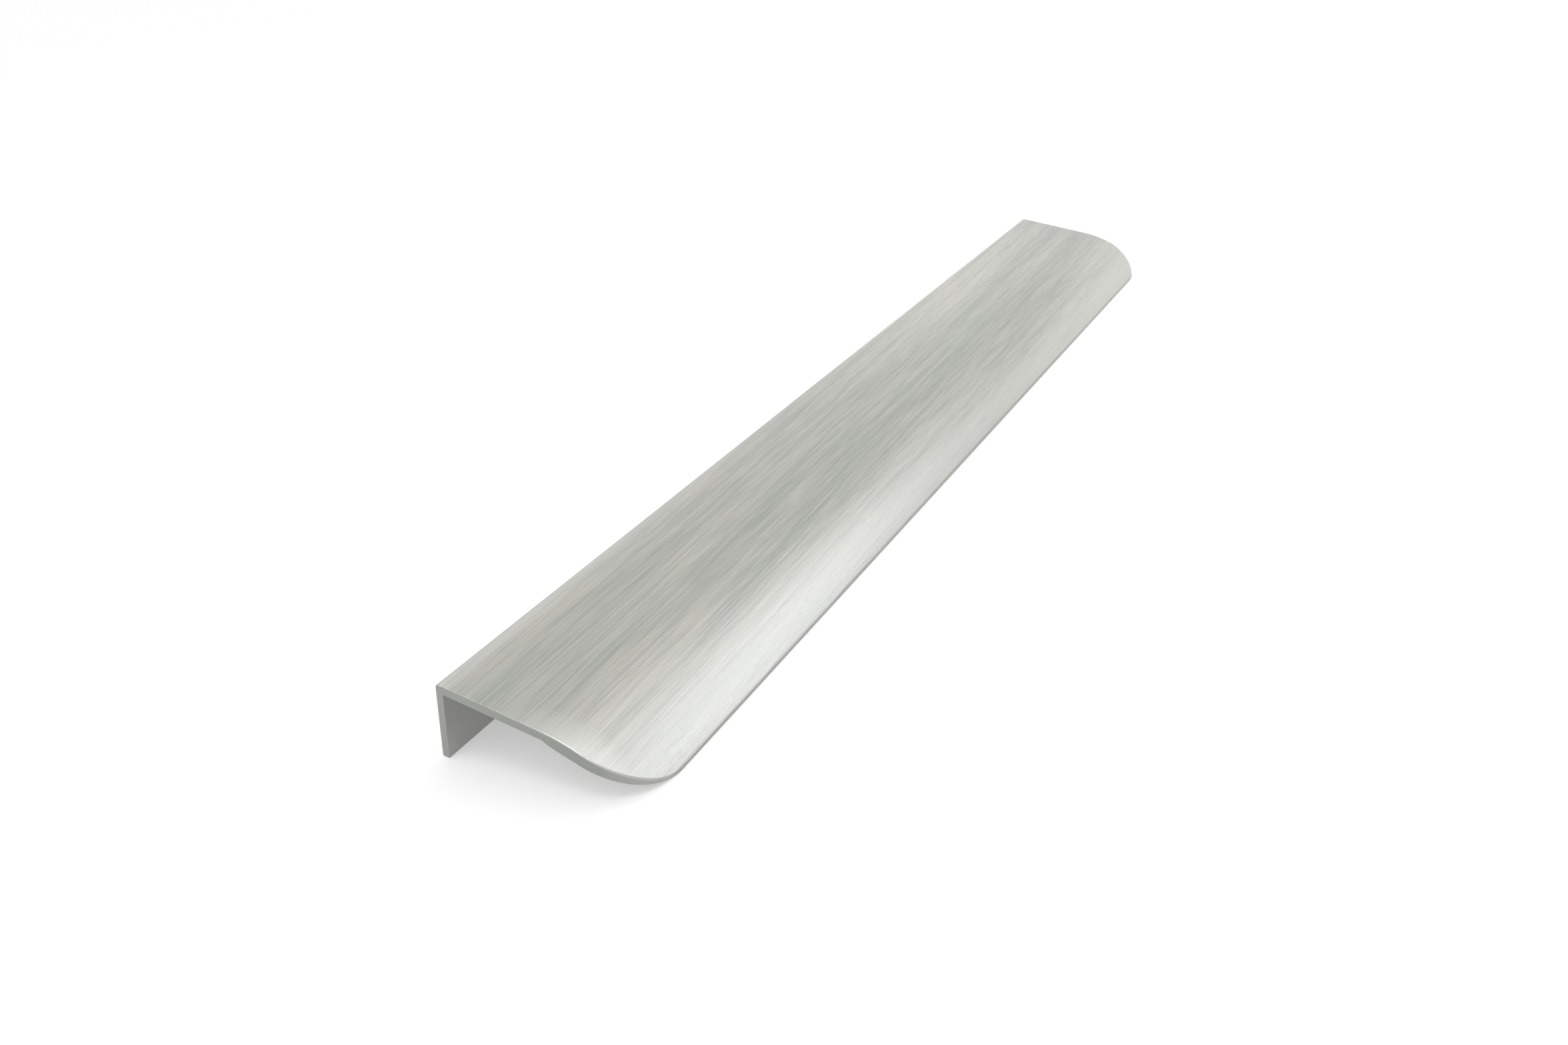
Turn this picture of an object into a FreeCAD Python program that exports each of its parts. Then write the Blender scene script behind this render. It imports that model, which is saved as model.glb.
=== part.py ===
import FreeCAD, Part
import math
import os

# Handleless finger pull: one length of extruded aluminium that caps the edge of a cabinet front.
# A short leg screws to the back of the front, a thin plate lies on its edge, and a lip curves
# down beyond its face, swollen where it leaves the seat and hollowed underneath for the fingers.
# The section is drawn as fitted: "out" runs from the leg's back face to the nose, "up" from the
# plate's top face. The finished piece is then laid the way it rests on a level floor, on the
# leg's lower edge and the nose, with X along its length, the nose towards -Y and Z up.

# Driving dimensions, in millimetres and degrees
length = 256.0
front_thickness = 18.0      # cabinet front that fits between the leg and the swelling
plate_thickness = 1.5
leg_thickness = 1.5
leg_height = 14.3           # from the plate's top face down to the leg's free edge
lip_reach = 18.0            # from the face of the cabinet front out to the nose
lip_radius = 28.5           # top of the lip, tangent to the plate
nose_thickness = 0.65       # upright face at the end of the lip
swell_reach = 5.0           # from the seat's end to where the swelling turns into the hollow
swell_drop = 1.3            # how far the underside has come down there
swell_slope = 8.4           # how steeply it still falls there
corner_radius = 10.8        # front corners, seen from above
back_round = 0.8            # where the plate turns into the leg
edge_break = 0.3            # along the outline of the top face
lower_break = 0.15          # along the outline of the lip's underside
hole_spacing = 192.0        # between the two screw holes in the leg
hole_diameter = 4.0
sink_diameter = 6.0         # countersink in the leg's back face
sink_angle = 90.0

# Sizes that follow
seat_end = leg_thickness + front_thickness
depth = seat_end + lip_reach
nose_top = math.sqrt(lip_radius ** 2 - lip_reach ** 2) - lip_radius
nose_bottom = nose_top - nose_thickness
hole_height = -(plate_thickness + leg_height) / 2
sink_depth = (sink_diameter - hole_diameter) / 2 / math.tan(math.radians(sink_angle / 2))


def point(out, up):
    """A point of the section, which lies at the middle of the length with its nose towards -Y."""
    return FreeCAD.Vector(0, -out, up)


def line(start, end):
    return Part.LineSegment(point(*start), point(*end)).toShape()


def tangent_arc(start, slope, end):
    """An arc from start, leaving along the given slope (degrees above the level), to end."""
    chord_out = end[0] - start[0]
    chord_up = end[1] - start[1]
    turn = math.radians(slope) - math.atan2(chord_up, chord_out)
    bulge = math.tan(turn / 2) / 2
    middle_out = (start[0] + end[0]) / 2 - bulge * chord_up
    middle_up = (start[1] + end[1]) / 2 + bulge * chord_out
    return Part.Arc(point(*start), point(middle_out, middle_up), point(*end)).toShape()


def section_face():
    """The closed outline of the extrusion, clockwise from the top of the leg's back face."""
    back_top = (0, 0)
    lip_start = (seat_end, 0)
    nose_upper = (depth, nose_top)
    nose_lower = (depth, nose_bottom)
    swell_end = (seat_end + swell_reach, -plate_thickness - swell_drop)
    seat_front = (seat_end, -plate_thickness)
    seat_back = (leg_thickness, -plate_thickness)
    leg_inner = (leg_thickness, -leg_height)
    leg_outer = (0, -leg_height)

    edges = [
        line(back_top, lip_start),
        tangent_arc(lip_start, 0, nose_upper),
        line(nose_upper, nose_lower),
        tangent_arc(swell_end, -swell_slope, nose_lower),
        tangent_arc(swell_end, 180 - swell_slope, seat_front),
        line(seat_front, seat_back),
        line(seat_back, leg_inner),
        line(leg_inner, leg_outer),
        line(leg_outer, back_top),
    ]
    return Part.Face(Part.Wire(Part.__sortEdges__(edges)))


def plan_prism():
    """Everything inside the outline seen from above: square at the back, rounded in front."""
    half = length / 2
    inset = corner_radius * (1 - math.sqrt(0.5))
    back_left = FreeCAD.Vector(-half, 0, 0)
    back_right = FreeCAD.Vector(half, 0, 0)
    side_left = FreeCAD.Vector(-half, corner_radius - depth, 0)
    side_right = FreeCAD.Vector(half, corner_radius - depth, 0)
    nose_left = FreeCAD.Vector(corner_radius - half, -depth, 0)
    nose_right = FreeCAD.Vector(half - corner_radius, -depth, 0)
    middle_left = FreeCAD.Vector(inset - half, inset - depth, 0)
    middle_right = FreeCAD.Vector(half - inset, inset - depth, 0)

    outline = Part.Wire([
        Part.LineSegment(back_right, back_left).toShape(),
        Part.LineSegment(back_left, side_left).toShape(),
        Part.Arc(side_left, middle_left, nose_left).toShape(),
        Part.LineSegment(nose_left, nose_right).toShape(),
        Part.Arc(nose_right, middle_right, side_right).toShape(),
        Part.LineSegment(side_right, back_right).toShape(),
    ])
    prism = Part.Face(outline).extrude(FreeCAD.Vector(0, 0, leg_height))
    prism.translate(FreeCAD.Vector(0, 0, -leg_height))
    return prism


def screw_hole(x):
    """A countersunk hole through the leg, entered from its back face."""
    mouth = FreeCAD.Vector(x, 0, hole_height)
    inward = FreeCAD.Vector(0, -1, 0)
    shank = Part.makeCylinder(hole_diameter / 2, leg_thickness, mouth, inward)
    sink = Part.makeCone(sink_diameter / 2, hole_diameter / 2, sink_depth, mouth, inward)
    return shank.fuse(sink)


def edges_at(shape, out, up):
    """The edges along the length that lie at one place of the section."""
    place = point(out, up)
    return [edge for edge in shape.Edges
            if (edge.CenterOfMass - place).Length < Part.Precision.confusion()]


def rest_tilt():
    """How far the nose drops, in degrees, until leg and nose both touch a level floor."""
    nose_low = nose_bottom + lower_break
    return math.degrees(math.atan2(leg_height + nose_low, depth - leg_thickness))


def pull_profile():
    """The whole piece in its fitted position, plate level and leg hanging down behind."""
    bar = section_face().extrude(FreeCAD.Vector(length, 0, 0))
    bar.translate(FreeCAD.Vector(-length / 2, 0, 0))
    bar = bar.makeFillet(back_round, edges_at(bar, 0, 0))
    bar = bar.common(plan_prism())
    bar = bar.makeFillet(edge_break, edges_at(bar, depth, nose_top))
    bar = bar.makeFillet(lower_break, edges_at(bar, depth, nose_bottom))
    for side in (-1, 1):
        bar = bar.cut(screw_hole(side * hole_spacing / 2))
    return bar


def laid_down(bar):
    """The piece tipped onto its leg and nose, with the middle of its footprint at the origin."""
    laid = bar.copy()
    laid.rotate(FreeCAD.Vector(0, 0, 0), FreeCAD.Vector(1, 0, 0), rest_tilt())
    box = laid.optimalBoundingBox()
    laid.translate(FreeCAD.Vector(0, -(box.YMin + box.YMax) / 2, -box.ZMin))
    return laid


os.makedirs("parts", exist_ok=True)
laid_down(pull_profile()).exportStep("parts/pull_profile.step")
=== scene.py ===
"""Looks of a brushed aluminium finger pull profile, on a white studio floor. Metres, +Z up."""
import math
from collections import namedtuple

import bpy
from mathutils import Matrix, Vector

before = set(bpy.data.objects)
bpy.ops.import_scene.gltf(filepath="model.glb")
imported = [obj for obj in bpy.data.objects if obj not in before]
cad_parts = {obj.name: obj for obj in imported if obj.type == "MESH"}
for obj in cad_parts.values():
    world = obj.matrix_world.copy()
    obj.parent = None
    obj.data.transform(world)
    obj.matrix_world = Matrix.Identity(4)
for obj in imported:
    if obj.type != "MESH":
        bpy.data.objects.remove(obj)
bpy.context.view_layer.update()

MM = 0.001
WHITE = (1.0, 1.0, 1.0, 1.0)

# Camera: a wide lens close to the near end, as the photograph's strong taper shows
CAMERA_PLACE = Vector((-237.66, -119.56, 117.57)) * MM
CAMERA_TARGET = Vector((-56.04, -3.37, 8.00)) * MM
CAMERA_ROLL = math.radians(-7.656)
CAMERA_LENS = 29.698
CAMERA_SENSOR = 36.0
CAMERA_CLIP = 10 * MM

# Colours of the metal, linear: cooler dull streaks, warmer pale ones, worn places with painted
# highlights, the plain faces that look down or back and the sawn ends, both darkened as painted shade,
# and a painted shade on the nose's face and the back rounding
STREAK_DULL = (0.375, 0.390, 0.361, 1.0)
STREAK_PALE = (0.525, 0.517, 0.474, 1.0)
WEAR_AND_PAINTED_HIGHLIGHT = (0.640, 0.640, 0.610, 1.0)
PLAIN_FINISH_AND_SHADE = (0.368, 0.368, 0.360, 1.0)
PAINTED_SHADE_LINE = (0.265, 0.268, 0.245, 1.0)
CUT_END_AND_SHADE = (0.306, 0.317, 0.297, 1.0)

# Brush marks: length and width, finer sets and their strength, wander, slant to the length,
# where the pattern starts, and share of the tone
Marks = namedtuple("Marks", "length width sets fineness wander slant start share")
SLANT = math.radians(1.0)
BROAD_ZONES = Marks(length=170 * MM, width=9 * MM, sets=1.0, fineness=0.5, wander=0.3,
                    slant=2 * SLANT, start=(19.0 * MM, 15.3 * MM, 14.1 * MM), share=1.1)
BANDS = Marks(length=100 * MM, width=4 * MM, sets=1.0, fineness=0.6, wander=0.2,
              slant=SLANT, start=(48.0 * MM, -185.5 * MM, -27.1 * MM), share=0.65)
STREAKS = Marks(length=80 * MM, width=1.8 * MM, sets=5.0, fineness=0.85, wander=0.1,
                slant=2 * SLANT, start=(802.0 * MM, -101.8 * MM, -9.9 * MM), share=2.5)
GRAIN = Marks(length=14 * MM, width=0.3 * MM, sets=2.0, fineness=0.6, wander=0.0,
              slant=SLANT, start=(0.0, 0.0, 0.0), share=2.2)
MIDDLE_TONE = 0.5
STREAK_DEPTH = 0.07 * MM
GRAIN_DEPTH = 0.006 * MM

# Gloss: the brushing spreads reflections across the grain, which runs along X. Its roughness
# goes with the grain's noise, over the range that the noise mostly has
ROUGHNESS = (0.26, 0.34)
GRAIN_RANGE = (0.3, 0.7)
GRAIN_RUN = (1.0, 0.0, 0.03)
ANISOTROPY = 0.35
ACROSS_GRAIN = 0.25

# Faces by the way they look, and the nose's face by its place, each from where its mask starts
# to where it is full, and how far some of them take their own colour
# Faces that look along the length are the sawn ends, darkened as painted shade
END_LOOK = (0.55, 0.95)
# Faces that look down take the plain colour, darkened as painted shade under the plate
DOWN_LOOK = (-0.04, -0.16)
DOWN_PLAIN_AND_SHADE = 0.85
BACK_LOOK = (0.80, 0.96)
BACK_PLAIN = 0.5
# The back rounding and the nose's face take a painted shade
BACK_TURN = (0.05, 0.40)
NOSE_FACE = (-18.85 * MM, -19.05 * MM)
NOSE_SHADE = 0.5

# The back edge is paler, less and less along the length, the near end has a painted highlight where the
# lip starts, and handling rubs the lip smoother towards its nose
# Paler along the back edge, less and less along the length
BACK_PALE = (13.1 * MM, 15.3 * MM)
BACK_PALE_SHARE = 0.55
BACK_PALE_FADE = (-80 * MM, 25 * MM)
# Painted highlight at the near end where the lip starts: where it sits, how far it reaches and how
# strong it is
END_HIGHLIGHT_PLACE = (-128.0 * MM, -7.5 * MM, 9.0 * MM)
END_HIGHLIGHT_REACH = (6 * MM, 12 * MM, 12 * MM)
END_HIGHLIGHT_SHARE = 0.85
LIP_RUB = (-8 * MM, -17 * MM)
LIP_RUB_SHARE = 0.65

# Sharp edges are paler, partly worn and partly a painted highlight: how wide, from which likeness of
# the face's direction to the rounded edge's one to which, and how the grain breaks the line up
EDGE_WIDTH = 0.5 * MM
EDGE_SAMPLES = 6
EDGE_LIKENESS = (0.99, 0.80)
EDGE_SHARE = 0.6
EDGE_GRAIN = (0.3, 0.6)
EDGE_LEAST = 0.5

FLOOR_HALF = 6.0
FLOOR_COLOUR = (0.99, 0.99, 0.99, 1.0)
FLOOR_GLOW = 0.4

# Softboxes, aimed at the middle of the profile: where they hang, in degrees (azimuth 0 is +X and
# 90 is +Y) and metres, their width and height in metres, power in watts and colour
Softbox = namedtuple("Softbox", "name azimuth elevation distance width height watts colour")
SOFTBOXES = (
    # Two cool ones in front, for the lip
    Softbox("lip_softbox_high", -42, 47, 1.0, 0.65, 0.85, 0.95, (1.0, 0.99, 1.08)),
    Softbox("lip_softbox_low", -44, 30, 1.0, 0.40, 0.40, 0.40, (0.97, 1.0, 1.20)),
    # One high over the near end, for the bright line on its edge
    Softbox("edge_softbox", 194, 70, 0.8, 0.24, 0.24, 0.85, (1.0, 1.0, 1.0)),
    # Two low ones past the far end, which the far half of the plate mirrors
    Softbox("far_softbox_front", -11, 9.5, 0.77, 0.40, 0.28, 0.15, (1.0, 1.0, 1.0)),
    Softbox("far_softbox_back", 23, 8.7, 0.68, 0.20, 0.32, 0.145, (1.0, 1.0, 1.0)),
)

# The Mix node's sockets for colours: two go in and one comes out
MIX_FIRST = 6
MIX_SECOND = 7
MIX_RESULT = 2


def add_node(tree, kind, **settings):
    """One shader node with its settings."""
    node = tree.nodes.new(kind)
    for name, value in settings.items():
        setattr(node, name, value)
    return node


def new_material(name):
    """An empty node material and its output's surface socket."""
    material = bpy.data.materials.new(name)
    material.use_nodes = True
    tree = material.node_tree
    tree.nodes.clear()
    output = add_node(tree, "ShaderNodeOutputMaterial")
    return material, tree, output.inputs["Surface"]


def remap(tree, value, low, high, to_low, to_high):
    """A value's range, carried to another range and held inside it."""
    node = add_node(tree, "ShaderNodeMapRange", clamp=True)
    for name, number in zip(("From Min", "From Max", "To Min", "To Max"), (low, high, to_low, to_high)):
        node.inputs[name].default_value = number
    tree.links.new(value, node.inputs["Value"])
    return node.outputs["Result"]


def calculate(tree, operation, *values):
    """One operation on values, each a socket or a number."""
    node = add_node(tree, "ShaderNodeMath", operation=operation)
    for socket, value in zip(node.inputs, values):
        if isinstance(value, (int, float)):
            socket.default_value = value
        else:
            tree.links.new(value, socket)
    return node.outputs["Value"]


def mix_colours(tree, factor, first, second):
    """One colour at factor 0 and another at factor 1; each is a socket or a fixed colour."""
    node = add_node(tree, "ShaderNodeMix", data_type="RGBA")
    tree.links.new(factor, node.inputs["Factor"])
    for index, colour in ((MIX_FIRST, first), (MIX_SECOND, second)):
        if isinstance(colour, tuple):
            node.inputs[index].default_value = colour
        else:
            tree.links.new(colour, node.inputs[index])
    return node.outputs[MIX_RESULT]


def split(tree, vector):
    """A vector's X, Y and Z sockets."""
    node = add_node(tree, "ShaderNodeSeparateXYZ")
    tree.links.new(vector, node.inputs["Vector"])
    return node.outputs["X"], node.outputs["Y"], node.outputs["Z"]


def brush_noise(tree, place, marks):
    """Noise drawn out along X: marks of one length and width and their finer sets, from 0 to 1."""
    stretch = add_node(tree, "ShaderNodeMapping", vector_type="TEXTURE")
    stretch.inputs["Location"].default_value = marks.start
    stretch.inputs["Rotation"].default_value = (0.0, 0.0, marks.slant)
    stretch.inputs["Scale"].default_value = (marks.length, marks.width, marks.width)
    noise = add_node(tree, "ShaderNodeTexNoise")
    noise.inputs["Scale"].default_value = 1.0
    noise.inputs["Detail"].default_value = marks.sets
    noise.inputs["Roughness"].default_value = marks.fineness
    noise.inputs["Distortion"].default_value = marks.wander
    tree.links.new(place, stretch.inputs["Vector"])
    tree.links.new(stretch.outputs["Vector"], noise.inputs["Vector"])
    return noise.outputs["Fac"]


def brush_tone(tree, noises, across):
    """One tone from dull to pale out of all brush marks, calmer towards the nose."""
    tone = 0.0
    for marks, noise in noises.items():
        half = marks.share / 2
        tone = calculate(tree, "ADD", remap(tree, noise, 0.0, 1.0, -half, half), tone)
    calm = remap(tree, across, *LIP_RUB, 1.0, 1.0 - LIP_RUB_SHARE)
    return calculate(tree, "MULTIPLY_ADD", tone, calm, MIDDLE_TONE)


def brush_relief(tree, streaks, grain):
    """Normal of the brushed surface: the streaks' shallow relief with the grain on it."""
    normal = None
    for height, depth in ((streaks, STREAK_DEPTH), (grain, GRAIN_DEPTH)):
        bump = add_node(tree, "ShaderNodeBump")
        bump.inputs["Distance"].default_value = depth
        tree.links.new(height, bump.inputs["Height"])
        if normal:
            tree.links.new(normal, bump.inputs["Normal"])
        normal = bump.outputs["Normal"]
    return normal


def edge_wear_and_highlight(tree, normal, grain):
    """Factor that is high on sharp edges, broken up by the grain: edge wear, partly a painted
    highlight.
    """
    rounded = add_node(tree, "ShaderNodeBevel", samples=EDGE_SAMPLES)
    rounded.inputs["Radius"].default_value = EDGE_WIDTH
    likeness = add_node(tree, "ShaderNodeVectorMath", operation="DOT_PRODUCT")
    tree.links.new(rounded.outputs["Normal"], likeness.inputs[0])
    tree.links.new(normal, likeness.inputs[1])
    edge = remap(tree, likeness.outputs["Value"], *EDGE_LIKENESS, 0.0, EDGE_SHARE)
    return calculate(tree, "MULTIPLY", edge, remap(tree, grain, *EDGE_GRAIN, EDGE_LEAST, 1.0))


def paler_back_edge(tree, along, across):
    """Factor that is high along the back edge, less and less along the length."""
    rub = remap(tree, across, *BACK_PALE, 0.0, BACK_PALE_SHARE)
    return calculate(tree, "MULTIPLY", rub, remap(tree, along, *BACK_PALE_FADE, 1.0, 0.0))


def painted_end_highlight(tree, place):
    """Factor that is high at the near end where the lip starts, and gone a little way off: a painted
    highlight.
    """
    spot = add_node(tree, "ShaderNodeMapping", vector_type="TEXTURE")
    spot.inputs["Location"].default_value = END_HIGHLIGHT_PLACE
    spot.inputs["Scale"].default_value = END_HIGHLIGHT_REACH
    distance = add_node(tree, "ShaderNodeVectorMath", operation="LENGTH")
    tree.links.new(place, spot.inputs["Vector"])
    tree.links.new(spot.outputs["Vector"], distance.inputs[0])
    return remap(tree, distance.outputs["Value"], 0.0, 1.0, END_HIGHLIGHT_SHARE, 0.0)


def plain_finish_and_shade(tree, back, up):
    """Factor that is high on the faces that look down, and lower on those that look back: a plainer
    finish, darkened as painted shade under the plate.
    """
    under = remap(tree, up, *DOWN_LOOK, 0.0, DOWN_PLAIN_AND_SHADE)
    behind = remap(tree, back, *BACK_LOOK, 0.0, BACK_PLAIN)
    return calculate(tree, "MAXIMUM", under, behind)


def painted_shade_lines(tree, across, back):
    """Factor that is high on the nose's narrow face and on the rounding at the back edge: a painted
    shade.
    """
    nose = remap(tree, across, *NOSE_FACE, 0.0, NOSE_SHADE)
    turned = remap(tree, back, *BACK_TURN, 0.0, 1.0)
    turned = calculate(tree, "MULTIPLY", turned, remap(tree, back, *BACK_LOOK, 1.0, 0.0))
    return calculate(tree, "MAXIMUM", nose, turned)


def metal_colour(tree, place, normal, noises):
    """The brush marks' colour, and over it the worn places and painted highlights, the plain faces and
    sawn ends darkened as painted shade, and the painted shade lines.
    """
    along, across, _ = split(tree, place)
    endwards, back, up = split(tree, normal)
    # Paler places: worn edges with a painted highlight, the paler back edge, and a painted highlight at
    # the near end
    wear_and_highlight = edge_wear_and_highlight(tree, normal, noises[GRAIN])
    wear_and_highlight = calculate(tree, "MAXIMUM", wear_and_highlight, paler_back_edge(tree, along, across))
    wear_and_highlight = calculate(tree, "MAXIMUM", wear_and_highlight, painted_end_highlight(tree, place))
    end = remap(tree, calculate(tree, "ABSOLUTE", endwards), *END_LOOK, 0.0, 1.0)

    colour = mix_colours(tree, brush_tone(tree, noises, across), STREAK_DULL, STREAK_PALE)
    colour = mix_colours(tree, wear_and_highlight, colour, WEAR_AND_PAINTED_HIGHLIGHT)
    # Painted shade: darker plain faces below, darker lines on the nose's face and the back rounding,
    # and darker sawn ends
    colour = mix_colours(tree, plain_finish_and_shade(tree, back, up), colour, PLAIN_FINISH_AND_SHADE)
    colour = mix_colours(tree, painted_shade_lines(tree, across, back), colour, PAINTED_SHADE_LINE)
    return mix_colours(tree, end, colour, CUT_END_AND_SHADE)


def grain_direction(tree):
    """The direction along which the metal is brushed."""
    run = add_node(tree, "ShaderNodeCombineXYZ")
    for name, number in zip("XYZ", GRAIN_RUN):
        run.inputs[name].default_value = number
    return run.outputs["Vector"]


def brushed_aluminium():
    """Aluminium brushed along X, worn and given a painted highlight at its edges, with plainer sawn
    ends and hidden faces that are darkened as painted shade.
    """
    material, tree, surface = new_material("brushed_aluminium_finish")
    place = add_node(tree, "ShaderNodeTexCoord").outputs["Object"]
    normal = add_node(tree, "ShaderNodeNewGeometry").outputs["Normal"]
    noises = {marks: brush_noise(tree, place, marks) for marks in (BROAD_ZONES, BANDS, STREAKS, GRAIN)}
    grain = noises[GRAIN]

    shader = add_node(tree, "ShaderNodeBsdfPrincipled")
    shader.inputs["Metallic"].default_value = 1.0
    shader.inputs["Anisotropic"].default_value = ANISOTROPY
    shader.inputs["Anisotropic Rotation"].default_value = ACROSS_GRAIN
    tree.links.new(metal_colour(tree, place, normal, noises), shader.inputs["Base Color"])
    tree.links.new(remap(tree, grain, *GRAIN_RANGE, *ROUGHNESS), shader.inputs["Roughness"])
    tree.links.new(brush_relief(tree, noises[STREAKS], grain), shader.inputs["Normal"])
    tree.links.new(grain_direction(tree), shader.inputs["Tangent"])
    tree.links.new(shader.outputs["BSDF"], surface)
    return material


def dress_profile():
    """The CAD node keeps its shape and takes the brushed finish."""
    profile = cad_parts["pull_profile"]
    profile.material_slots[0].material = brushed_aluminium()


def floor_paint():
    """Matt white that glows a little for what looks straight at it or mirrors it, and keeps shadows."""
    material, tree, surface = new_material("studio_floor")
    paint = add_node(tree, "ShaderNodeBsdfDiffuse")
    paint.inputs["Color"].default_value = FLOOR_COLOUR
    glow = add_node(tree, "ShaderNodeEmission")
    glow.inputs["Color"].default_value = WHITE
    rays = add_node(tree, "ShaderNodeLightPath").outputs
    seen = calculate(tree, "MAXIMUM", rays["Is Camera Ray"], rays["Is Glossy Ray"])
    seen = calculate(tree, "MAXIMUM", seen, rays["Is Transmission Ray"])
    blend = add_node(tree, "ShaderNodeMixShader")
    tree.links.new(calculate(tree, "MULTIPLY", seen, FLOOR_GLOW), blend.inputs["Fac"])
    tree.links.new(paint.outputs["BSDF"], blend.inputs[1])
    tree.links.new(glow.outputs["Emission"], blend.inputs[2])
    tree.links.new(blend.outputs["Shader"], surface)
    return material


def lay_floor():
    """A wide white floor under the profile."""
    half = FLOOR_HALF
    corners = [(-half, -half, 0), (half, -half, 0), (half, half, 0), (-half, half, 0)]
    mesh = bpy.data.meshes.new("studio_floor")
    mesh.from_pydata(corners, [], [(0, 1, 2, 3)])
    mesh.materials.append(floor_paint())
    floor = bpy.data.objects.new("studio_floor", mesh)
    bpy.context.scene.collection.objects.link(floor)


def light_world():
    """White light all round."""
    world = bpy.data.worlds.new("studio")
    world.use_nodes = True
    bpy.context.scene.world = world
    background = world.node_tree.nodes["Background"]
    background.inputs["Color"].default_value = WHITE
    background.inputs["Strength"].default_value = 1.0


def hang_softbox(softbox):
    """One soft light, aimed at the middle of the profile."""
    azimuth = math.radians(softbox.azimuth)
    elevation = math.radians(softbox.elevation)
    level = math.cos(elevation)
    out = Vector((math.cos(azimuth) * level, math.sin(azimuth) * level, math.sin(elevation)))
    light = bpy.data.lights.new(softbox.name, "AREA")
    light.shape = "RECTANGLE"
    light.size = softbox.width
    light.size_y = softbox.height
    light.energy = softbox.watts
    light.color = softbox.colour
    lamp = bpy.data.objects.new(softbox.name, light)
    lamp.location = out * softbox.distance
    lamp.rotation_euler = (-out).to_track_quat("-Z", "Y").to_euler()
    bpy.context.scene.collection.objects.link(lamp)


def aim_camera():
    """The photograph's viewpoint, with the same lens and roll."""
    data = bpy.data.cameras.new("camera")
    data.lens = CAMERA_LENS
    data.sensor_width = CAMERA_SENSOR
    data.clip_start = CAMERA_CLIP
    camera = bpy.data.objects.new("camera", data)
    look = (CAMERA_TARGET - CAMERA_PLACE).to_track_quat("-Z", "Y").to_matrix()
    turned = look @ Matrix.Rotation(CAMERA_ROLL, 3, "Z")
    camera.matrix_world = Matrix.Translation(CAMERA_PLACE) @ turned.to_4x4()
    bpy.context.scene.collection.objects.link(camera)
    bpy.context.scene.camera = camera


dress_profile()
lay_floor()
light_world()
for softbox in SOFTBOXES:
    hang_softbox(softbox)
aim_camera()
bpy.context.scene.view_settings.view_transform = "Standard"
